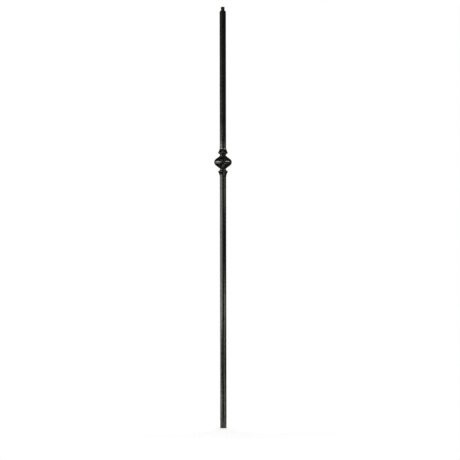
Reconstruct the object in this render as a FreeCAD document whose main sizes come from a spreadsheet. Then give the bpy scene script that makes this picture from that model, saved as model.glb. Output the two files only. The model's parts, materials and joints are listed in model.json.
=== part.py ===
import FreeCAD, Part
import os
import Sketcher

# Iron stair baluster, made from one square bar: a forged knuckle drawn out of the bar, a collar
# above and below it, a pin turned on the upper end and a foot cut square.
# The foot's flat end stands on the origin, +Z runs up the bar, X and Y are square to its faces.

# Driving dimensions, in millimetres and degrees: name, value, what it measures
SIZES = [
    ("overall_length", "1117.6", "foot to the top of the pin"),
    ("bar_width", "12", "across the faces of the bar"),
    ("bar_edge", "0.5", "radius along the four edges of the bar"),
    ("knuckle_level", "705.3", "foot to the middle of the knuckle"),
    ("bulb_width", "36.6", "across the faces of the bulb, at its middle"),
    ("bulb_edge", "6.5", "radius of the bulb's four corners, at its middle"),
    ("nose_radius", "10.6", "round of the bulb's middle, seen from a face"),
    ("flank_angle", "42.6", "slope of the bulb's straight flanks to the axis"),
    ("neck_width", "12", "across the faces of the neck between bulb and collar"),
    ("neck_edge", "2", "radius of the neck's four corners"),
    ("neck_radius", "4", "hollow of the neck, seen from a face"),
    ("collar_width", "19.5", "across the faces of the collar's crest"),
    ("collar_edge", "1.6", "radius of the collar's four corners"),
    ("collar_angle", "40", "slope of the collar's side towards the neck"),
    ("crest_radius", "1.4", "round of the collar's crest, seen from a face"),
    ("flare_radius", "32", "hollow sweep from the collar's crest to the bar"),
    ("pin_diameter", "10", "turned pin at the top"),
    ("pin_length", "10", "shoulder to the top of the pin"),
    ("pin_chamfer", "0.6", "bevel round the top of the pin"),
    ("shoulder_land", "0.9", "flat ring round the root of the pin"),
    ("shoulder_angle", "45", "slope of the turned corners below that ring"),
]

# Dimensions that follow: straight runs, turns and distances from the middle of the knuckle
DERIVED = [
    ("flank_run", "((bulb_width - neck_width) / 2"
     " - (nose_radius + neck_radius) * (1 - cos(flank_angle))) / sin(flank_angle)",
     "straight part of the bulb's flank"),
    ("neck_level", "(nose_radius + neck_radius) * sin(flank_angle) + flank_run * cos(flank_angle)",
     "middle to neck"),
    ("collar_run", "((collar_width - neck_width) / 2"
     " - (neck_radius + crest_radius) * (1 - cos(collar_angle))) / sin(collar_angle)",
     "straight part of the collar's side"),
    ("crest_level", "neck_level + (neck_radius + crest_radius) * sin(collar_angle)"
     " + collar_run * cos(collar_angle)", "middle to the collar's crest"),
    ("flare_turn", "acos(1 - (collar_width - bar_width) / 2 / (crest_radius + flare_radius))",
     "slope where the crest runs into the flare"),
    ("flare_level", "crest_level + (crest_radius + flare_radius) * sin(flare_turn)",
     "middle to where the plain bar begins"),
    ("shoulder_level", "overall_length - pin_length", "foot to the shoulder under the pin"),
    ("land_radius", "pin_diameter / 2 + shoulder_land", "outer radius of the flat ring"),
    ("turned_radius", "bar_width", "reach of the turning tool, past the bar's corners"),
]

# The knuckle's upper half, from its middle to the bar, as sections of the square:
# name, distance from the middle, half width, and the two forms between which the corners change
OUTLINE = [
    ("middle", "0", "bulb_width / 2", "neck", "bulb"),
    ("nose", "nose_radius * sin(flank_angle / 2)",
     "bulb_width / 2 - nose_radius * (1 - cos(flank_angle / 2))", "neck", "bulb"),
    ("brow", "nose_radius * sin(flank_angle)",
     "bulb_width / 2 - nose_radius * (1 - cos(flank_angle))", "neck", "bulb"),
    ("throat", "neck_level - neck_radius * sin(flank_angle)",
     "neck_width / 2 + neck_radius * (1 - cos(flank_angle))", "neck", "bulb"),
    ("hollow", "neck_level - neck_radius * sin(flank_angle / 2)",
     "neck_width / 2 + neck_radius * (1 - cos(flank_angle / 2))", "neck", "bulb"),
    ("neck", "neck_level", "neck_width / 2", "neck", "bulb"),
    ("scoop", "neck_level + neck_radius * sin(collar_angle / 2)",
     "neck_width / 2 + neck_radius * (1 - cos(collar_angle / 2))", "neck", "collar"),
    ("cuff", "neck_level + neck_radius * sin(collar_angle)",
     "neck_width / 2 + neck_radius * (1 - cos(collar_angle))", "neck", "collar"),
    ("lip", "crest_level - crest_radius * sin(collar_angle)",
     "collar_width / 2 - crest_radius * (1 - cos(collar_angle))", "neck", "collar"),
    ("rim", "crest_level - crest_radius * sin(collar_angle / 2)",
     "collar_width / 2 - crest_radius * (1 - cos(collar_angle / 2))", "neck", "collar"),
    ("crest", "crest_level", "collar_width / 2", "bar", "collar"),
    ("edge", "crest_level + crest_radius * sin(flare_turn / 2)",
     "collar_width / 2 - crest_radius * (1 - cos(flare_turn / 2))", "bar", "collar"),
    ("brim", "crest_level + crest_radius * sin(flare_turn)",
     "collar_width / 2 - crest_radius * (1 - cos(flare_turn))", "bar", "collar"),
    ("sweep", "flare_level - flare_radius * sin(flare_turn * 2 / 3)",
     "bar_width / 2 + flare_radius * (1 - cos(flare_turn * 2 / 3))", "bar", "collar"),
    ("slope", "flare_level - flare_radius * sin(flare_turn / 3)",
     "bar_width / 2 + flare_radius * (1 - cos(flare_turn / 3))", "bar", "collar"),
    ("shank", "flare_level", "bar_width / 2", "bar", "collar"),
]

# Stretches of that outline, each lofted by itself so that its arc or straight side stays true
STRETCHES = [
    ("Flank", ["brow", "throat"]),
    ("Neck", ["throat", "hollow", "neck", "scoop", "cuff"]),
    ("CollarSide", ["cuff", "lip"]),
    ("Crest", ["lip", "rim", "crest", "edge", "brim"]),
    ("Flare", ["brim", "sweep", "slope", "shank"]),
]

doc = FreeCAD.newDocument("baluster")
sheet = doc.addObject("Spreadsheet::Sheet", "sizes")
sheet_rows = 0


def add_row(name, content, note):
    """One row of the sheet: a name, a named cell and a note."""
    global sheet_rows
    sheet_rows += 1
    sheet.set(f"A{sheet_rows}", name)
    sheet.set(f"B{sheet_rows}", content)
    sheet.setAlias(f"B{sheet_rows}", name)
    sheet.set(f"C{sheet_rows}", note)


def corner_radius(name, low, high):
    """Formula for a section's corner radius, which changes with its width between two forms."""
    share = f"(2 * {name}_half - {low}_width) / ({high}_width - {low}_width)"
    return f"={low}_edge + ({high}_edge - {low}_edge) * {share}"


for name, value, note in SIZES:
    add_row(name, value, note)
for name, formula, note in DERIVED:
    add_row(name, "=" + formula, note)
for name, rise, half, low, high in OUTLINE:
    add_row(f"{name}_rise", "=" + rise, "distance from the middle of the knuckle")
    add_row(f"{name}_half", "=" + half, "half width across the faces")
    add_row(f"{name}_corner", corner_radius(name, low, high), "corner radius")
doc.recompute()

body = doc.addObject("PartDesign::Body", "Baluster")
body.Label = "baluster"
ORIGIN_POINT = (-1, 1)


def origin_plane(role):
    """The body's own origin plane with this role."""
    return [item for item in body.Origin.OriginFeatures if item.Role == role][0]


def new_sketch(name, role):
    """An empty sketch on one of the body's origin planes."""
    sketch = body.newObject("Sketcher::SketchObject", name)
    sketch.AttachmentSupport = [(origin_plane(role), "")]
    sketch.MapMode = "FlatFace"
    return sketch


def constrain(sketch, rules, dimensions):
    """Add a sketch's rules, then its dimensions, each tied to a formula on the sheet."""
    values = [Sketcher.Constraint(*rule, float(sketch.evalExpression(formula)))
              for label, formula, *rule in dimensions]
    sketch.addConstraint([Sketcher.Constraint(*rule) for rule in rules] + values)
    for place, (label, formula, *rule) in enumerate(dimensions, start=len(rules)):
        sketch.renameConstraint(place, label)
        sketch.setExpression(f"Constraints.{label}", formula)


def square_section(name, level, half, corner):
    """Square with round corners, centred on the bar's axis at a level above the foot."""
    sketch = new_sketch(name, "XY_Plane")
    sketch.setExpression("AttachmentOffset.Base.z", level)
    reach = float(sketch.evalExpression(half))
    radius = float(sketch.evalExpression(corner))
    flat = reach - radius
    shape = []
    for side in range(4):
        turn = FreeCAD.Rotation(FreeCAD.Vector(0, 0, 1), 90 * side)
        start = turn.multVec(FreeCAD.Vector(reach, -flat, 0))
        end = turn.multVec(FreeCAD.Vector(reach, flat, 0))
        bulge = flat + radius * 0.5 ** 0.5
        over = turn.multVec(FreeCAD.Vector(bulge, bulge, 0))
        beyond = turn.multVec(FreeCAD.Vector(flat, reach, 0))
        shape += [Part.LineSegment(start, end), Part.Arc(end, over, beyond)]
    sketch.addGeometry(shape)
    right, first_corner, back, left, front = 0, 1, 2, 4, 6
    rules = [("Tangent", piece, 2, (piece + 1) % 8, 1) for piece in range(8)]
    rules += [("Vertical", right), ("Horizontal", back), ("Vertical", left), ("Horizontal", front)]
    rules += [("Equal", first_corner, other) for other in (3, 5, 7)]
    constrain(sketch, rules, [
        ("corner", corner, "Radius", first_corner),
        ("right", half, "DistanceX", *ORIGIN_POINT, right, 1),
        ("back", half, "DistanceY", *ORIGIN_POINT, back, 1),
        ("left", half, "DistanceX", left, 1, *ORIGIN_POINT),
        ("front", half, "DistanceY", front, 1, *ORIGIN_POINT),
    ])
    return sketch


def shaft(name, level, length):
    """A plain run of the bar."""
    section = square_section(name + "Section", level, "sizes.bar_width / 2", "sizes.bar_edge")
    pad = body.newObject("PartDesign::Pad", name)
    pad.Profile = section
    pad.setExpression("Length", length)
    doc.recompute()


def loft(name, sections):
    """Smooth skin through a run of sections."""
    feature = body.newObject("PartDesign::AdditiveLoft", name)
    feature.Profile = sections[0]
    feature.Sections = sections[1:]
    doc.recompute()


def knuckle_sections(half_name, sign, names):
    """Sections of the outline in one half of the knuckle, by name."""
    sections = {}
    for name in names:
        level = f"sizes.knuckle_level {sign} sizes.{name}_rise"
        title = half_name + name.capitalize()
        sections[name] = square_section(title, level, f"sizes.{name}_half", f"sizes.{name}_corner")
    return sections


def knuckle():
    """Flare, collar and neck, then the bulb, then neck, collar and flare again, from the bottom up."""
    names = [row[0] for row in OUTLINE]
    lower = knuckle_sections("Lower", "-", names[1:])
    upper = knuckle_sections("Upper", "+", names)
    doc.recompute()
    for name, rows in reversed(STRETCHES):
        loft("Lower" + name, [lower[row] for row in reversed(rows)])
    loft("Nose", [lower["brow"], lower["nose"], upper["middle"], upper["nose"], upper["brow"]])
    for name, rows in STRETCHES:
        loft("Upper" + name, [upper[row] for row in rows])


def turned_pin():
    """Turn the upper end of the bar down to the pin, its shoulder and the bevelled corners below."""
    sketch = new_sketch("PinProfile", "XZ_Plane")
    corners = [
        ("tip", "sizes.pin_diameter / 2 - sizes.pin_chamfer", "sizes.overall_length"),
        ("bevel", "sizes.pin_diameter / 2", "sizes.overall_length - sizes.pin_chamfer"),
        ("root", "sizes.pin_diameter / 2", "sizes.shoulder_level"),
        ("land", "sizes.land_radius", "sizes.shoulder_level"),
        ("hip", "sizes.turned_radius",
         "sizes.shoulder_level - (sizes.turned_radius - sizes.land_radius) * tan(sizes.shoulder_angle)"),
        ("outer", "sizes.turned_radius", "sizes.overall_length"),
    ]
    points = []
    for label, out, up in corners:
        points.append(FreeCAD.Vector(float(sketch.evalExpression(out)), float(sketch.evalExpression(up)), 0))
    count = len(corners)
    following = points[1:] + points[:1]
    sketch.addGeometry([Part.LineSegment(start, end) for start, end in zip(points, following)])
    dimensions = []
    for index, (label, out, up) in enumerate(corners):
        dimensions.append((label + "_out", out, "DistanceX", *ORIGIN_POINT, index, 1))
        dimensions.append((label + "_up", up, "DistanceY", *ORIGIN_POINT, index, 1))
    rules = [("Coincident", index, 2, (index + 1) % count, 1) for index in range(count)]
    constrain(sketch, rules, dimensions)
    doc.recompute()
    volume_before = body.Shape.Volume
    groove = body.newObject("PartDesign::Groove", "TurnedPin")
    groove.Profile = sketch
    groove.ReferenceAxis = (sketch, ["V_Axis"])
    groove.Angle = 360
    doc.recompute()
    if body.Shape.Volume >= volume_before:
        raise RuntimeError("the pin was not turned out of the bar")


shaft("LowerShaft", "0", "sizes.knuckle_level - sizes.flare_level")
knuckle()
shaft("UpperShaft", "sizes.knuckle_level + sizes.flare_level",
      "sizes.overall_length - sizes.knuckle_level - sizes.flare_level")
turned_pin()
doc.recompute()

for item in doc.Objects:
    if "Invalid" in item.State or "Error" in item.State:
        raise RuntimeError(f"{item.Name} failed: {item.State}")
if body.Shape.isNull() or not body.Shape.isValid() or len(body.Shape.Solids) != 1:
    raise RuntimeError("the baluster is not one valid solid")

os.makedirs("parts", exist_ok=True)
body.Shape.exportStep(f"parts/{body.Label}.step")
box = body.Shape.optimalBoundingBox()
print(f"{body.Label}: {box.XLength:.2f} x {box.YLength:.2f} x {box.ZLength:.2f} mm,"
      f" {body.Shape.Volume:.0f} cubic mm")
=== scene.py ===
"""Forged iron stair baluster: one hammered bar with its knuckle, black paint and a plain studio."""
import json
import math
from collections import namedtuple

import bmesh
import bpy
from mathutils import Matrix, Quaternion, Vector


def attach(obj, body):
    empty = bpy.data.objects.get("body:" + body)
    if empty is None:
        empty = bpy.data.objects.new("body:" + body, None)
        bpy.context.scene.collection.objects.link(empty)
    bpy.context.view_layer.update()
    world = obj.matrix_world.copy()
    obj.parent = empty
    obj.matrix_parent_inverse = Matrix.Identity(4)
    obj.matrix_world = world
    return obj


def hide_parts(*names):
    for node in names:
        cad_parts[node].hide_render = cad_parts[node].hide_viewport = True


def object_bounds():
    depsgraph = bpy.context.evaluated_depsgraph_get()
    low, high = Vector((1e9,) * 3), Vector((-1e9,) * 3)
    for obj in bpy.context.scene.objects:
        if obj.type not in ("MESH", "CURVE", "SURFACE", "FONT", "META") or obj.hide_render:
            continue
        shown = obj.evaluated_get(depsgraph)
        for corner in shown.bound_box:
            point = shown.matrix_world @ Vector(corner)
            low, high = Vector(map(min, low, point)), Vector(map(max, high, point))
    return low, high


bl_info = {
    "name": "Forged Stair Baluster",
    "version": (1, 0, 0),
    "blender": (4, 5, 0),
    "location": "View3D > Sidebar > Baluster",
    "description": "Forges a square iron baluster with its knuckle, paints it black and lights it",
    "category": "Add Mesh",
}

MM = 0.001
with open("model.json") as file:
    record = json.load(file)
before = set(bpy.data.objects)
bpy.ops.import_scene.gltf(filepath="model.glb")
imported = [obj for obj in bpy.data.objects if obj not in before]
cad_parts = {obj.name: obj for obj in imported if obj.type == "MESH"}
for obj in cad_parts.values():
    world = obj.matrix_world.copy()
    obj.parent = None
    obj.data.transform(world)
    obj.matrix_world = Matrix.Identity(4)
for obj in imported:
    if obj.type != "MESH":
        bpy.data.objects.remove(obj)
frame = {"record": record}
CAD_LOW, CAD_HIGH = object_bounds()
PIN_MOUNT = [mount for mount in frame["record"]["mounts"] if mount["name"] == "top_pin"][0]


def length(label, millimetres, about):
    """A size that a user may change, written in millimetres and kept in metres."""
    return bpy.props.FloatProperty(
        name=label, description=about, default=millimetres * MM, min=0.0, precision=5,
        subtype="DISTANCE", unit="LENGTH")


def angle(label, degrees, about):
    """An angle that a user may change, written in degrees."""
    return bpy.props.FloatProperty(
        name=label, description=about, default=math.radians(degrees), subtype="ANGLE", unit="ROTATION")


def share(label, value, about):
    """A plain number from 0 to 1."""
    return bpy.props.FloatProperty(
        name=label, description=about, default=value, min=0.0, max=1.0, subtype="FACTOR")


def level(label, value, about):
    """Brightness of an open lamp's face or of a surround, where 1 is white; a grid makes a lamp brighter."""
    return bpy.props.FloatProperty(name=label, description=about, default=value, min=0.0)


def colour(label, value, about):
    """A linear colour."""
    return bpy.props.FloatVectorProperty(
        name=label, description=about, default=value, size=3, min=0.0, max=1.0, subtype="COLOR")


class BalusterSizes(bpy.types.PropertyGroup):
    """Sizes of the bar, its knuckle, its turned pin and its foot."""

    overall_length: length("Overall length", (CAD_HIGH.z - CAD_LOW.z) / MM, "Foot to the top of the pin")
    bar_width: length("Bar width", 12.8, "Across the middle of the bar's faces, with the paint on them")
    bar_edge: length("Bar edge", 0.3, "Radius along the bar's four edges")
    bar_crown: length("Bar crown", 0.3, "How far the middle of each face stands proud of its edges")
    knuckle_level: length("Knuckle level", 705.3, "Foot to the middle of the knuckle")
    bulb_width: length("Bulb width", (CAD_HIGH.x - CAD_LOW.x) / MM, "Across the faces of the bulb")
    bulb_edge: length("Bulb edge", 3.5, "Radius of the bulb's four corners, beside its crowned faces")
    bulb_crown: length("Bulb crown", 0.6, "How far the middle of each bulb face stands proud")
    nose_radius: length("Nose radius", 13.0, "Round of the bulb's middle, seen from a face")
    flank_angle: angle("Flank angle", 45.0, "Slope of the bulb's straight flanks to the axis")
    neck_width: length("Neck width", 13.0, "Across the faces of the neck between bulb and collar")
    neck_edge: length("Neck edge", 2.0, "Radius of the neck's four corners")
    neck_radius: length("Neck radius", 4.0, "Hollow of the neck, seen from a face")
    collar_width: length("Collar width", 19.9, "Across the faces of the collar's crest")
    collar_edge: length("Collar edge", 1.0, "Radius of the collar's four corners")
    collar_angle: angle("Collar angle", 40.0, "Slope of the collar's side towards the neck")
    crest_radius: length("Crest radius", 1.4, "Round of the collar's crest, seen from a face")
    flare_radius: length("Flare radius", 36.0, "Hollow sweep from the collar's crest to the bar")
    pin_diameter: length("Pin diameter", 2 * PIN_MOUNT["dims"]["r_mm"], "Turned pin at the top")
    pin_length: length("Pin length", 10.0, "Shoulder to the top of the pin")
    pin_bevel: length("Pin bevel", 0.6, "Bevel round the top of the pin")
    pin_root: length("Pin root", 0.4, "Hollow that the turning tool leaves round the pin's root")
    shoulder_land: length("Shoulder land", 0.9, "Flat ring round the root of the pin")
    shoulder_angle: angle("Shoulder angle", 45.0, "Slope of the turned corners below that ring")
    foot_break: length("Foot break", 0.35, "Bevel that the file leaves round the cut foot")


class BalusterForging(bpy.types.PropertyGroup):
    """Unevenness that hammering leaves in the bar and its knuckle."""

    hammer_size: length("Hammer size", 26.0, "Length of the swells that the hammer leaves")
    bar_hammer: length("Bar hammer depth", 0.22, "Height of those swells along the bar")
    knuckle_hammer: length("Knuckle hammer depth", 0.7, "Height of those swells on the bulb")
    twist: angle("Twist", 1.6, "How far the bar's faces turn to and fro about its axis")
    twist_size: length("Twist length", 260.0, "Length over which that turn comes and goes")
    seed: bpy.props.IntProperty(name="Seed", description="Picks one pattern of swells", default=7, min=0)


class BalusterFinish(bpy.types.PropertyGroup):
    """Black paint over the iron."""

    paint: colour("Paint", (0.005, 0.0053, 0.0049), "Black where the paint is full")
    thin_paint: colour("Thin paint", (0.009, 0.0094, 0.0086), "Black where the paint is thin or dusty")
    cloud_size: length("Cloud size", 70.0, "Length of the drifts in tone")
    gloss: share("Gloss", 0.12, "Roughness where the paint flowed out smooth")
    satin: share("Satin", 0.2, "Roughness where it dried dull")
    gloss_size: length("Gloss patch size", 22.0, "Length of the patches of gloss")
    peel_size: length("Peel size", 1.6, "Width of the dimples in the sprayed paint")
    peel_depth: length("Peel depth", 0.025, "Depth of those dimples")
    scale_size: length("Scale size", 6.0, "Width of the shallow pits left by forging scale")
    scale_depth: length("Scale depth", 0.1, "Depth of those pits under the paint")
    tool_pitch: length("Tool pitch", 0.3, "Pitch of the rings on the pin and the saw lines on the foot")
    tool_depth: length("Tool depth", 0.006, "Depth of those rings and lines under the paint")


class BalusterStudio(bpy.types.PropertyGroup):
    """Camera, lamps and surround."""

    camera_turn: angle("Camera turn", 40.0, "Way round from the front; an edge all but faces the camera")
    camera_roll: angle("Camera roll", -0.09, "Lean of the camera, which leans the bar in the picture")
    camera_distance: length("Camera distance", 9000.0, "Camera to the bar's axis")
    view_width: length("View width", 1220.4, "Width of the picture at the bar")
    view_height: length("View height", 525.5, "Height of the picture's middle above the foot")
    view_offset: length("View offset", 18.4, "Distance from the bar's axis to the picture's middle")
    floor_radius: length("Floor radius", 450.0, "Round of pale floor under the foot")
    floor_colour: colour("Floor colour", (0.785, 0.775, 0.817), "Pale floor, a little cool under warm lamps")
    floor_white: level("Floor white", 0.28, "Whiteness that the floor adds where it is seen directly")
    room: level("Room", 0.02, "Brightness of the dim room that the gloss reflects")
    ambient: level("Ambient", 0.55, "Soft light from all round, which the gloss doesn't reflect")
    lamp_colour: colour("Lamp colour", (0.97, 1.0, 0.87), "Tint of every lamp")
    key_level: level("Key level", 3.3, "Brightness of the main lamp on the left")
    low_level: level("Low level", 0.34, "Brightness of the low gridded lamp on the left")
    fill_level: level("Fill level", 2.1, "Brightness of the low lamp on the right")
    wall_level: level("Wall level", 0.4, "Brightness of the tall dim panel on the left")
    left_kick_level: level("Left kick level", 0.025, "Brightness of the left lamp gridded at the knuckle")
    right_kick_level: level("Right kick level", 0.01, "Brightness of the right lamp gridded at the knuckle")
    side_level: level("Side level", 0.8, "Brightness of the small lamp right of the knuckle")
    left_near_level: level("Left near level", 2.2, "Brightness of the small lamp left of the flare")
    right_near_level: level("Right near level", 1.0, "Brightness of the small lamp right of the flare")
    left_bulb_level: level("Left bulb level", 0.07, "Brightness of the left lamp gridded at the bulb")
    right_bulb_level: level("Right bulb level", 0.06, "Brightness of the right lamp gridded at the bulb")
    high_level: level("High level", 2.0, "Brightness of the two lamps high on either side")
    panel_level: level("Panel level", 0.4, "Brightness of the soft panels that face the bar all round")
    top_level: level("Top level", 8.0, "Brightness of the lamp above and behind the bar")


def add_node(tree, kind, inputs=(), **settings):
    """Add a node with its settings, and link or set its inputs by name or number."""
    node = tree.nodes.new(kind)
    for setting, value in settings.items():
        setattr(node, setting, value)
    for key, value in dict(inputs).items():
        if isinstance(value, bpy.types.NodeSocket):
            tree.links.new(value, node.inputs[key])
        else:
            node.inputs[key].default_value = value
    return node


def calc(tree, operation, *values):
    """Result of a sum on numbers."""
    return add_node(tree, "ShaderNodeMath", enumerate(values), operation=operation).outputs[0]


def vector_calc(tree, operation, *values):
    """Result of a sum on vectors."""
    return add_node(tree, "ShaderNodeVectorMath", enumerate(values), operation=operation).outputs[0]


def scaled(tree, vector, factor):
    """A vector made longer or shorter."""
    return add_node(tree, "ShaderNodeVectorMath", {
        0: vector, "Scale": factor}, operation="SCALE").outputs[0]


def turned_about_z(tree, vector, turn):
    """A vector turned about the bar's axis."""
    return add_node(tree, "ShaderNodeVectorRotate", {
        "Vector": vector, "Angle": turn}, rotation_type="Z_AXIS").outputs[0]


# Shape of the bar: a stack of square rings from the foot to the top of the pin
Form = namedtuple("Form", "half corner crown hammer")
Ring = namedtuple("Ring", "height half corner crown hammer turned")
# Radius in metres that no tool reaches, and the tool's first reach in halves of the bar's width
UNTURNED = 1.0
CORNER_REACH = 1.5
# Largest gaps between rings, and steps along each side and bend
SHAFT_GAP = 2.5 * MM
KNUCKLE_GAP = 0.7 * MM
SHOULDER_GAP = 0.3 * MM
SIDE_STEPS = 12
CORNER_STEPS = 6
NOSE_STEPS = 12
NECK_STEPS = 8
CREST_STEPS = 5
FLARE_STEPS = 16
ROOT_STEPS = 6
# Flatness of a crowned face, gain and shift of the random patterns, and the least angle of a crisp edge
CROWN_POWER = 4.0
TWIST_SPREAD = 4.0
SEED_SHIFT = (3.7, 5.3, 7.9)
SHARP_ANGLE = math.radians(35)


def bend(middle, half, radius, low, high, steps):
    """Points on one round of the side outline; a negative radius bulges and a positive one hollows."""
    turns = [low + (high - low) * step / steps for step in range(steps + 1)]
    return [(middle + abs(radius) * math.sin(turn), half + radius * (1 - math.cos(turn))) for turn in turns]


def shaped(points, narrow, wide):
    """Rings on points of the outline, with corners that change between two forms with the width."""
    rings = []
    for rise, half in points:
        part = (half - narrow.half) / (wide.half - narrow.half)
        mixed = [low + (high - low) * part for low, high in zip(narrow[1:], wide[1:])]
        rings.append(Ring(rise, half, *mixed, UNTURNED))
    return rings


def spread(rings, gap):
    """The same rings with more between them, so that no two stand further apart than a gap."""
    filled = [rings[0]]
    for before, after in zip(rings, rings[1:]):
        steps = max(1, math.ceil((after.height - before.height) / gap))
        for step in range(1, steps + 1):
            filled.append(Ring(*[a + (b - a) * step / steps for a, b in zip(before, after)]))
    return filled


def upper_knuckle(sizes, forging):
    """Rings from the middle of the knuckle up to the plain bar: bulb, neck, collar and flare."""
    bulb = Form(sizes.bulb_width / 2, sizes.bulb_edge, sizes.bulb_crown, forging.knuckle_hammer)
    neck = Form(sizes.neck_width / 2, sizes.neck_edge, sizes.bar_crown, forging.bar_hammer)
    collar = Form(sizes.collar_width / 2, sizes.collar_edge, sizes.bar_crown, forging.bar_hammer)
    bar = Form(sizes.bar_width / 2, sizes.bar_edge, sizes.bar_crown, forging.bar_hammer)
    flank, side = sizes.flank_angle, sizes.collar_angle

    flank_drop = bulb.half - neck.half - (sizes.nose_radius + sizes.neck_radius) * (1 - math.cos(flank))
    neck_level = (sizes.nose_radius + sizes.neck_radius) * math.sin(flank) + flank_drop / math.tan(flank)
    side_drop = collar.half - neck.half - (sizes.neck_radius + sizes.crest_radius) * (1 - math.cos(side))
    crest_level = (neck_level + (sizes.neck_radius + sizes.crest_radius) * math.sin(side)
                   + side_drop / math.tan(side))
    flare = math.acos(1 - (collar.half - bar.half) / (sizes.crest_radius + sizes.flare_radius))
    flare_level = crest_level + (sizes.crest_radius + sizes.flare_radius) * math.sin(flare)

    nose = bend(0, bulb.half, -sizes.nose_radius, 0, flank, NOSE_STEPS)
    neck_start = bend(neck_level, neck.half, sizes.neck_radius, -flank, 0, NECK_STEPS)
    neck_end = bend(neck_level, neck.half, sizes.neck_radius, 0, side, NECK_STEPS)[1:]
    crest_start = bend(crest_level, collar.half, -sizes.crest_radius, -side, 0, CREST_STEPS)
    crest_end = bend(crest_level, collar.half, -sizes.crest_radius, 0, flare, CREST_STEPS)[1:]
    sweep = bend(flare_level, bar.half, sizes.flare_radius, -flare, 0, FLARE_STEPS)[1:]
    rings = shaped(nose + neck_start, neck, bulb)
    rings += shaped(neck_end + crest_start, neck, collar)
    rings += shaped(crest_end + sweep, bar, collar)
    return spread(rings, KNUCKLE_GAP)


def turned_end(sizes, plain):
    """Rings of the turned shoulder and pin, from where the tool first meets the bar's corners."""
    pin = sizes.pin_diameter / 2
    top = sizes.overall_length
    shoulder = top - sizes.pin_length
    land = pin + sizes.shoulder_land
    reach = plain.half * CORNER_REACH
    hip = shoulder - (reach - land) * math.tan(sizes.shoulder_angle)
    first_cut = plain._replace(height=hip, turned=reach)
    rings = spread([first_cut, plain._replace(height=shoulder, turned=land)], SHOULDER_GAP)
    root = sizes.pin_root
    for step in range(ROOT_STEPS + 1):
        turn = math.pi / 2 * step / ROOT_STEPS
        height = shoulder + root * (1 - math.cos(turn))
        rings.append(plain._replace(height=height, turned=pin + root * (1 - math.sin(turn))))
    rings.append(plain._replace(height=top - sizes.pin_bevel, turned=pin))
    rings.append(plain._replace(height=top, turned=pin - sizes.pin_bevel))
    return rings


def baluster_rings(sizes, forging):
    """Every ring of the baluster, from the foot up."""
    upper = upper_knuckle(sizes, forging)
    plain = upper[-1]
    middle = sizes.knuckle_level
    lower = [ring._replace(height=middle - ring.height) for ring in reversed(upper[1:])]
    upper = [ring._replace(height=middle + ring.height) for ring in upper]
    end = turned_end(sizes, plain)
    foot = plain._replace(height=sizes.foot_break)
    cut = plain._replace(height=0.0, half=plain.half - sizes.foot_break)
    return ([cut] + spread([foot, lower[0]], SHAFT_GAP) + lower[1:] + upper
            + spread([upper[-1], end[0]._replace(turned=UNTURNED)], SHAFT_GAP)[1:] + end[1:])


def rail_of(rings):
    """Line of points that carries the rings' measures as attributes."""
    mesh = bpy.data.meshes.new("baluster_rail")
    steps = range(len(rings))
    mesh.from_pydata([(0, 0, step * MM) for step in steps], list(zip(steps, steps[1:])), [])
    for name, values in zip(Ring._fields, zip(*rings)):
        mesh.attributes.new(name, "FLOAT", "POINT").data.foreach_set("value", values)
    return mesh


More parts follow.
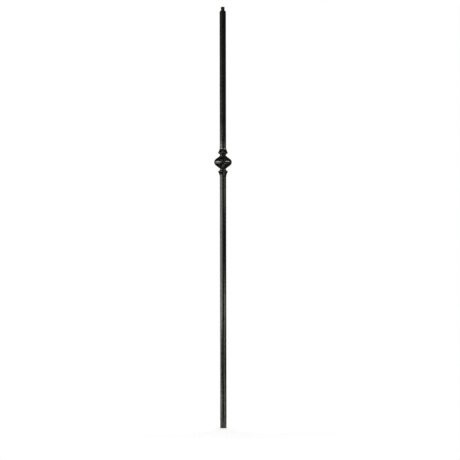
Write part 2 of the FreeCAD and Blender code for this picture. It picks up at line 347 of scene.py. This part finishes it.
def forging_tree():
    """Node tree that sweeps a square with round corners along the rail, ring by ring."""
    tree = bpy.data.node_groups.new("Forge baluster", "GeometryNodeTree")
    for name, kind in (("Rail", "Geometry"), ("Side Steps", "Int"), ("Corner Steps", "Int"),
                       ("Hammer Size", "Float"), ("Twist", "Float"), ("Twist Size", "Float"),
                       ("Seed", "Int"), ("Paint", "Material")):
        tree.interface.new_socket(name=name, in_out="INPUT", socket_type="NodeSocket" + kind)
    tree.interface.new_socket(name="Baluster", in_out="OUTPUT", socket_type="NodeSocketGeometry")
    given = add_node(tree, "NodeGroupInput").outputs

    # Profile: each point keeps a place on a square and a place on a circle
    quarter_steps = calc(tree, "ADD", given["Side Steps"], given["Corner Steps"])
    index = add_node(tree, "GeometryNodeInputIndex").outputs[0]
    quarter = calc(tree, "FLOOR", calc(tree, "DIVIDE", calc(tree, "ADD", index, 0.5), quarter_steps))
    step = calc(tree, "SUBTRACT", index, calc(tree, "MULTIPLY", quarter, quarter_steps))
    along = calc(tree, "MINIMUM", calc(tree, "DIVIDE", step, given["Side Steps"]), 1.0)
    side_place = calc(tree, "MULTIPLY_ADD", along, 2.0, -1.0)
    past_side = calc(tree, "MAXIMUM", calc(tree, "SUBTRACT", step, given["Side Steps"]), 0.0)
    round_corner = calc(tree, "DIVIDE", past_side, given["Corner Steps"])
    corner_turn = calc(tree, "MULTIPLY", round_corner, math.pi / 2)
    quarter_turn = calc(tree, "MULTIPLY", quarter, math.pi / 2)
    on_side = add_node(tree, "ShaderNodeCombineXYZ", {"X": 1.0, "Y": side_place}).outputs[0]
    on_round = add_node(tree, "ShaderNodeCombineXYZ", {
        "X": calc(tree, "COSINE", corner_turn), "Y": calc(tree, "SINE", corner_turn)}).outputs[0]
    profile = add_node(tree, "GeometryNodeCurvePrimitiveCircle", {
        "Resolution": calc(tree, "MULTIPLY", quarter_steps, 4.0)}).outputs["Curve"]
    for name, place in (("on_square", on_side), ("on_circle", on_round)):
        profile = add_node(tree, "GeometryNodeStoreNamedAttribute", {
            "Geometry": profile, "Name": name, "Value": turned_about_z(tree, place, quarter_turn),
        }, data_type="FLOAT_VECTOR", domain="POINT").outputs[0]
    rail = add_node(tree, "GeometryNodeMeshToCurve", {"Mesh": given["Rail"]}).outputs[0]
    swept = add_node(tree, "GeometryNodeCurveToMesh", {
        "Curve": rail, "Profile Curve": profile, "Fill Caps": True}).outputs[0]

    # Section of each ring: the square drawn in by the corner radius, the circle added to it
    def measure(name, kind="FLOAT"):
        return add_node(tree, "GeometryNodeInputNamedAttribute", {"Name": name}, data_type=kind).outputs[0]

    on_square, on_circle = measure("on_square", "FLOAT_VECTOR"), measure("on_circle", "FLOAT_VECTOR")
    height, half, corner = measure("height"), measure("half"), measure("corner")
    flat = calc(tree, "SUBTRACT", calc(tree, "SUBTRACT", half, corner), measure("crown"))
    section = vector_calc(tree, "ADD", scaled(tree, on_square, flat), scaled(tree, on_circle, corner))
    square_parts = add_node(tree, "ShaderNodeSeparateXYZ", {0: on_square}).outputs
    off_middle = calc(tree, "MULTIPLY", square_parts["X"], square_parts["Y"])
    cornered = calc(tree, "POWER", off_middle, CROWN_POWER)
    crown = calc(tree, "MULTIPLY", measure("crown"), calc(tree, "SUBTRACT", 1.0, cornered))

    # Hammering: smooth swells out of the faces, and a slow turn to and fro about the axis
    section_parts = add_node(tree, "ShaderNodeSeparateXYZ", {0: section}).outputs
    place = add_node(tree, "ShaderNodeCombineXYZ", {
        "X": section_parts["X"], "Y": section_parts["Y"], "Z": height}).outputs[0]
    seed_shift = scaled(tree, SEED_SHIFT, given["Seed"])
    hammered = add_node(tree, "ShaderNodeTexNoise", {
        "Vector": vector_calc(tree, "ADD", place, seed_shift),
        "Scale": calc(tree, "DIVIDE", 1.0, given["Hammer Size"]),
        "Detail": 1.0, "Roughness": 0.4}).outputs[0]
    swell = calc(tree, "MULTIPLY", measure("hammer"), calc(tree, "SUBTRACT", hammered, 0.5))
    section = vector_calc(tree, "ADD", section, scaled(tree, on_circle, calc(tree, "ADD", crown, swell)))
    drift = add_node(tree, "ShaderNodeTexNoise", {
        "W": calc(tree, "ADD", calc(tree, "DIVIDE", height, given["Twist Size"]), given["Seed"]),
        "Scale": 1.0, "Detail": 1.0}, noise_dimensions="1D").outputs[0]
    to_and_fro = calc(tree, "MULTIPLY_ADD", drift, TWIST_SPREAD, -TWIST_SPREAD / 2)
    section = turned_about_z(tree, section, calc(tree, "MULTIPLY", given["Twist"], to_and_fro))

    # Turning: whatever stands outside the tool's radius is cut back to it
    distance = add_node(tree, "ShaderNodeVectorMath", {0: section}, operation="LENGTH").outputs["Value"]
    cut = calc(tree, "MINIMUM", calc(tree, "DIVIDE", measure("turned"), distance), 1.0)
    raised = add_node(tree, "ShaderNodeCombineXYZ", {"Z": height}).outputs[0]
    place = vector_calc(tree, "ADD", scaled(tree, section, cut), raised)
    forged = add_node(tree, "GeometryNodeSetPosition", {"Geometry": swept, "Position": place}).outputs[0]
    whole = add_node(tree, "GeometryNodeRealizeInstances", {0: forged}).outputs[0]
    painted = add_node(tree, "GeometryNodeSetMaterial", {
        "Geometry": whole, "Material": given["Paint"]}).outputs[0]
    add_node(tree, "NodeGroupOutput", {"Baluster": painted})
    return tree


def forged_mesh(context, rings, forging, paint):
    """Plain closed mesh that the forging tree makes of the rings."""
    carrier = bpy.data.objects.new("baluster_carrier", rail_of(rings))
    context.scene.collection.objects.link(carrier)
    modifier = carrier.modifiers.new("Forge", "NODES")
    tree = forging_tree()
    values = {
        "Side Steps": SIDE_STEPS,
        "Corner Steps": CORNER_STEPS,
        "Hammer Size": forging.hammer_size,
        "Twist": forging.twist,
        "Twist Size": forging.twist_size,
        "Seed": forging.seed,
        "Paint": paint,
    }
    modifier.node_group = tree
    for socket in tree.interface.items_tree:
        if socket.name in values:
            modifier[socket.identifier] = values[socket.name]
    depsgraph = context.evaluated_depsgraph_get()
    mesh = bpy.data.meshes.new_from_object(carrier.evaluated_get(depsgraph), depsgraph=depsgraph)
    rail = carrier.data
    bpy.data.objects.remove(carrier)
    bpy.data.meshes.remove(rail)
    if not mesh.polygons:
        raise RuntimeError("the forging tree gave no faces")
    for name in Ring._fields + ("on_square", "on_circle"):
        mesh.attributes.remove(mesh.attributes[name])
    return mesh


# Paint: nearly all of a noise lies between its low and high, and a colour Mix node numbers its sockets
NOISE_LOW = 0.3
NOISE_HIGH = 0.7
MIX_COLOUR_A = 6
MIX_COLOUR_B = 7
MIXED_COLOUR = 2


def noise(tree, place, size, detail):
    """Soft random pattern of about one size, from 0 to 1."""
    return add_node(tree, "ShaderNodeTexNoise", {
        "Vector": place, "Scale": 1.0 / size, "Detail": detail}).outputs[0]


def spread_value(tree, value, low, high):
    """A noise's middle values spread out between two others."""
    return add_node(tree, "ShaderNodeMapRange", {
        "Value": value, "From Min": NOISE_LOW, "From Max": NOISE_HIGH,
        "To Min": low, "To Max": high}).outputs[0]


def black_paint(finish, sizes):
    """Satin black paint, a little uneven in tone and gloss, over forged iron and its tool marks."""
    material = bpy.data.materials.new("black_paint")
    material.use_nodes = True
    tree = material.node_tree
    tree.nodes.clear()
    place = add_node(tree, "ShaderNodeTexCoord").outputs["Object"]
    parts = add_node(tree, "ShaderNodeSeparateXYZ", {0: place}).outputs

    clouds = spread_value(tree, noise(tree, place, finish.cloud_size, detail=4.0), 0.0, 1.0)
    tone = add_node(tree, "ShaderNodeMix", {"Factor": clouds}, data_type="RGBA")
    tone.inputs[MIX_COLOUR_A].default_value = (*finish.paint, 1.0)
    tone.inputs[MIX_COLOUR_B].default_value = (*finish.thin_paint, 1.0)
    patches = noise(tree, place, finish.gloss_size, detail=3.0)
    roughness = spread_value(tree, patches, finish.gloss, finish.satin)

    peel = calc(tree, "MULTIPLY", noise(tree, place, finish.peel_size, detail=1.0), finish.peel_depth)
    scale = calc(tree, "MULTIPLY", noise(tree, place, finish.scale_size, detail=2.0), finish.scale_depth)
    on_pin = calc(tree, "GREATER_THAN", parts["Z"], sizes.overall_length - sizes.pin_length)
    on_foot = calc(tree, "LESS_THAN", parts["Z"], sizes.foot_break / 4)
    across = calc(tree, "ADD", calc(tree, "MULTIPLY", parts["Z"], on_pin),
                  calc(tree, "MULTIPLY", parts["X"], on_foot))
    ridge = calc(tree, "SINE", calc(tree, "MULTIPLY", across, 2 * math.pi / finish.tool_pitch))
    height = calc(tree, "MULTIPLY_ADD", ridge, finish.tool_depth / 2, calc(tree, "ADD", peel, scale))
    bump = add_node(tree, "ShaderNodeBump", {"Strength": 1.0, "Distance": 1.0, "Height": height})

    shader = add_node(tree, "ShaderNodeBsdfPrincipled", {
        "Base Color": tone.outputs[MIXED_COLOUR],
        "Roughness": roughness,
        "Normal": bump.outputs[0],
        "IOR": 1.5})
    add_node(tree, "ShaderNodeOutputMaterial", {"Surface": shader.outputs[0]})
    return material


class OBJECT_OT_forge_baluster(bpy.types.Operator):
    """Forge the bar, its knuckle and its turned pin as one closed mesh, and paint it"""

    bl_idname = "object.forge_baluster"
    bl_label = "Forge Baluster"

    def execute(self, context):
        scene = context.scene
        paint = black_paint(scene.baluster_finish, scene.baluster_sizes)
        rings = baluster_rings(scene.baluster_sizes, scene.baluster_forging)
        mesh = forged_mesh(context, rings, scene.baluster_forging, paint)
        shape = bmesh.new()
        shape.from_mesh(mesh)
        bmesh.ops.recalc_face_normals(shape, faces=shape.faces)
        shape.to_mesh(mesh)
        shape.free()
        mesh.shade_smooth()
        mesh.set_sharp_from_angle(angle=SHARP_ANGLE)
        bar = bpy.data.objects.new("forged_bar", mesh)
        scene.collection.objects.link(bar)
        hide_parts("baluster")
        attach(bar, "root")
        return {"FINISHED"}


# Studio: bearings run round the bar in degrees, 0 towards the camera and positive to its right
Lamp = namedtuple("Lamp", "name level bearing distance up aim width height grid")
OPEN = 180
LOW_GRID = 50
KNUCKLE_GRID = 13
BULB_GRID = 10
PANEL_BEARINGS = {
    "front_panel": 5,
    "front_left_panel": -40,
    "front_right_panel": 50,
    "back_left_panel": -130,
    "back_right_panel": 140,
}
# Distances, heights and sizes are in metres, and a grid gathers a lamp's light into so many degrees
LAMPS = (
    Lamp("key_lamp", "key_level", -84, 1.25, 0.57, 0.57, 0.3, 0.43, OPEN),
    Lamp("low_lamp", "low_level", -87, 1.25, 0.16, 0.16, 0.3, 0.4, LOW_GRID),
    Lamp("fill_lamp", "fill_level", 95, 1.15, 0.16, 0.16, 0.18, 0.42, OPEN),
    Lamp("wall_lamp", "wall_level", -85, 2.0, 0.75, 0.75, 0.45, 1.5, OPEN),
    Lamp("left_kick_lamp", "left_kick_level", -80, 1.55, 1.0, 0.715, 0.35, 0.36, KNUCKLE_GRID),
    Lamp("right_kick_lamp", "right_kick_level", 100, 1.55, 1.0, 0.715, 0.35, 0.36, KNUCKLE_GRID),
    Lamp("side_lamp", "side_level", 97, 1.25, 0.64, 0.64, 0.25, 0.12, OPEN),
    Lamp("left_near_lamp", "left_near_level", -85, 0.4, 0.75, 0.75, 0.14, 0.03, OPEN),
    Lamp("right_near_lamp", "right_near_level", 103, 0.4, 0.75, 0.75, 0.14, 0.03, OPEN),
    Lamp("left_bulb_lamp", "left_bulb_level", -82, 0.4, 0.805, 0.705, 0.12, 0.05, BULB_GRID),
    Lamp("right_bulb_lamp", "right_bulb_level", 100, 0.4, 0.805, 0.705, 0.12, 0.05, BULB_GRID),
    Lamp("left_high_lamp", "high_level", -80, 1.5, 1.96, 0.705, 0.5, 0.3, OPEN),
    Lamp("right_high_lamp", "high_level", 100, 1.5, 1.96, 0.705, 0.5, 0.3, OPEN),
    Lamp("top_lamp", "top_level", 180, 1.6, 2.2, 0.3, 1.0, 1.0, OPEN),
    *[Lamp(name, "panel_level", bearing, 3.0, 0.7, 0.6, 2.4, 2.2, OPEN)
      for name, bearing in PANEL_BEARINGS.items()],
)
# How squarely a ray points at the backdrop or the ground where the white begins and where it is full
BACKDROP_FADE = (0.7, 0.9)
GROUND_FADE = (0.8, 0.9)
FLOOR_SIDES = 96


def studio_axes(studio):
    """Directions to the right and towards the camera."""
    turn = studio.camera_turn
    return Vector((math.cos(turn), math.sin(turn), 0)), Vector((math.sin(turn), -math.cos(turn), 0))


def add_lamp(context, studio, lamp):
    """Soft lamp with an evenly bright face, pointed from its place at a height on the bar."""
    right, toward = studio_axes(studio)
    light = bpy.data.lights.new(lamp.name, "AREA")
    light.shape = "RECTANGLE"
    light.size = lamp.width
    light.size_y = lamp.height
    light.spread = math.radians(lamp.grid)
    light.color = studio.lamp_colour
    light.energy = getattr(studio, lamp.level) * math.pi * lamp.width * lamp.height
    panel = bpy.data.objects.new(lamp.name, light)
    bearing = math.radians(lamp.bearing)
    panel.location = (toward * math.cos(bearing) + right * math.sin(bearing)) * lamp.distance
    panel.location.z = lamp.up
    panel.rotation_mode = "QUATERNION"
    panel.rotation_quaternion = (Vector((0, 0, lamp.aim)) - panel.location).to_track_quat("-Z", "Y")
    panel.visible_camera = False
    context.scene.collection.objects.link(panel)


def seen_directly(tree):
    """1 on rays from the camera, off a gloss or through glass, and 0 on rays that only light things."""
    rays = add_node(tree, "ShaderNodeLightPath").outputs
    reflected = calc(tree, "MAXIMUM", rays["Is Glossy Ray"], rays["Is Transmission Ray"])
    return calc(tree, "MAXIMUM", rays["Is Camera Ray"], reflected)


def faded(tree, value, low, high):
    """A smooth rise from 0 at a low value to 1 at a high one."""
    return add_node(tree, "ShaderNodeMapRange", {
        "Value": value, "From Min": low, "From Max": high}, interpolation_type="SMOOTHSTEP").outputs[0]


def add_floor(context, studio):
    """Round of pale floor with a faded rim, white where it is seen directly, under the bar's shadow."""
    material = bpy.data.materials.new("pale_floor")
    material.use_nodes = True
    tree = material.node_tree
    tree.nodes.clear()
    seen = seen_directly(tree)
    pale = add_node(tree, "ShaderNodeBsdfDiffuse", {"Color": (*studio.floor_colour, 1.0)})
    glow = calc(tree, "MULTIPLY", seen, studio.floor_white)
    white = add_node(tree, "ShaderNodeEmission", {"Strength": glow})
    both = add_node(tree, "ShaderNodeAddShader", {0: pale.outputs[0], 1: white.outputs[0]})
    place = add_node(tree, "ShaderNodeTexCoord").outputs["Object"]
    radius = add_node(tree, "ShaderNodeVectorMath", {0: place}, operation="LENGTH").outputs["Value"]
    rim = faded(tree, radius, studio.floor_radius / 2, studio.floor_radius)
    clear = add_node(tree, "ShaderNodeBsdfTransparent")
    floor_shader = add_node(tree, "ShaderNodeMixShader", {0: rim, 1: both.outputs[0], 2: clear.outputs[0]})
    add_node(tree, "ShaderNodeOutputMaterial", {"Surface": floor_shader.outputs[0]})
    mesh = bpy.data.meshes.new("floor")
    shape = bmesh.new()
    bmesh.ops.create_circle(shape, cap_ends=True, segments=FLOOR_SIDES, radius=studio.floor_radius)
    shape.to_mesh(mesh)
    shape.free()
    mesh.materials.append(material)
    floor = bpy.data.objects.new("floor", mesh)
    context.scene.collection.objects.link(floor)


def add_world(context, studio):
    """White behind the bar and below it in a dim room for the gloss, and soft light for matt surfaces.

    The camera sees white all round.
    """
    world = bpy.data.worlds.new("studio")
    world.use_nodes = True
    tree = world.node_tree
    tree.nodes.clear()
    toward = studio_axes(studio)[1]
    way = add_node(tree, "ShaderNodeTexCoord").outputs["Generated"]
    facing = add_node(tree, "ShaderNodeVectorMath", {0: way, 1: -toward}, operation="DOT_PRODUCT")
    backdrop = faded(tree, facing.outputs["Value"], *BACKDROP_FADE)
    down = calc(tree, "MULTIPLY", add_node(tree, "ShaderNodeSeparateXYZ", {0: way}).outputs["Z"], -1.0)
    surround = calc(tree, "MAXIMUM", backdrop, faded(tree, down, *GROUND_FADE))
    rays = add_node(tree, "ShaderNodeLightPath").outputs
    seen = seen_directly(tree)
    reflected = calc(tree, "MULTIPLY", surround, seen)
    white = calc(tree, "MAXIMUM", rays["Is Camera Ray"], reflected)
    shown = calc(tree, "ADD", calc(tree, "MULTIPLY", white, 1.0 - studio.room), studio.room)
    soft = calc(tree, "MULTIPLY", calc(tree, "SUBTRACT", 1.0, seen), studio.ambient)
    brightness = calc(tree, "ADD", shown, soft)
    background = add_node(tree, "ShaderNodeBackground", {"Strength": brightness})
    background.inputs["Color"].default_value = (1.0, 1.0, 1.0, 1.0)
    add_node(tree, "ShaderNodeOutputWorld", {"Surface": background.outputs[0]})
    context.scene.world = world


def add_camera(context, studio):
    """Camera that looks level at an edge of the bar from far off, rolled a little."""
    right, toward = studio_axes(studio)
    lens = bpy.data.cameras.new("camera")
    lens.lens = lens.sensor_width * studio.camera_distance / studio.view_width
    camera = bpy.data.objects.new("camera", lens)
    camera.location = toward * studio.camera_distance + right * studio.view_offset
    camera.location.z = studio.view_height
    camera.rotation_mode = "QUATERNION"
    rolled = Quaternion((0, 0, 1), studio.camera_roll)
    camera.rotation_quaternion = (-toward).to_track_quat("-Z", "Y") @ rolled
    context.scene.collection.objects.link(camera)
    context.scene.camera = camera


class SCENE_OT_set_baluster_stage(bpy.types.Operator):
    """Set up the floor, the surround, the lamps and the camera"""

    bl_idname = "scene.set_baluster_stage"
    bl_label = "Set Stage"

    def execute(self, context):
        studio = context.scene.baluster_studio
        context.scene.view_settings.view_transform = "Standard"
        add_floor(context, studio)
        add_world(context, studio)
        for lamp in LAMPS:
            add_lamp(context, studio, lamp)
        add_camera(context, studio)
        return {"FINISHED"}


class VIEW3D_PT_baluster(bpy.types.Panel):
    """Sizes, forging, finish and studio of the baluster"""

    bl_label = "Baluster"
    bl_idname = "VIEW3D_PT_baluster"
    bl_space_type = "VIEW_3D"
    bl_region_type = "UI"
    bl_category = "Baluster"

    def draw(self, context):
        for group in PROPERTY_GROUPS:
            settings = getattr(context.scene, group)
            box = self.layout.box()
            box.label(text=settings.bl_rna.description)
            for name in settings.bl_rna.properties.keys():
                if name not in ("rna_type", "name"):
                    box.prop(settings, name)
        self.layout.operator(OBJECT_OT_forge_baluster.bl_idname)
        self.layout.operator(SCENE_OT_set_baluster_stage.bl_idname)


PROPERTY_GROUPS = {
    "baluster_sizes": BalusterSizes,
    "baluster_forging": BalusterForging,
    "baluster_finish": BalusterFinish,
    "baluster_studio": BalusterStudio,
}
CLASSES = (
    *PROPERTY_GROUPS.values(),
    OBJECT_OT_forge_baluster,
    SCENE_OT_set_baluster_stage,
    VIEW3D_PT_baluster,
)


def register():
    for item in CLASSES:
        bpy.utils.register_class(item)
    for name, group in PROPERTY_GROUPS.items():
        setattr(bpy.types.Scene, name, bpy.props.PointerProperty(type=group))


def unregister():
    for name in PROPERTY_GROUPS:
        delattr(bpy.types.Scene, name)
    for item in reversed(CLASSES):
        bpy.utils.unregister_class(item)


def main():
    register()
    bpy.ops.object.forge_baluster()
    bpy.ops.scene.set_baluster_stage()


if __name__ == "__main__":
    main()
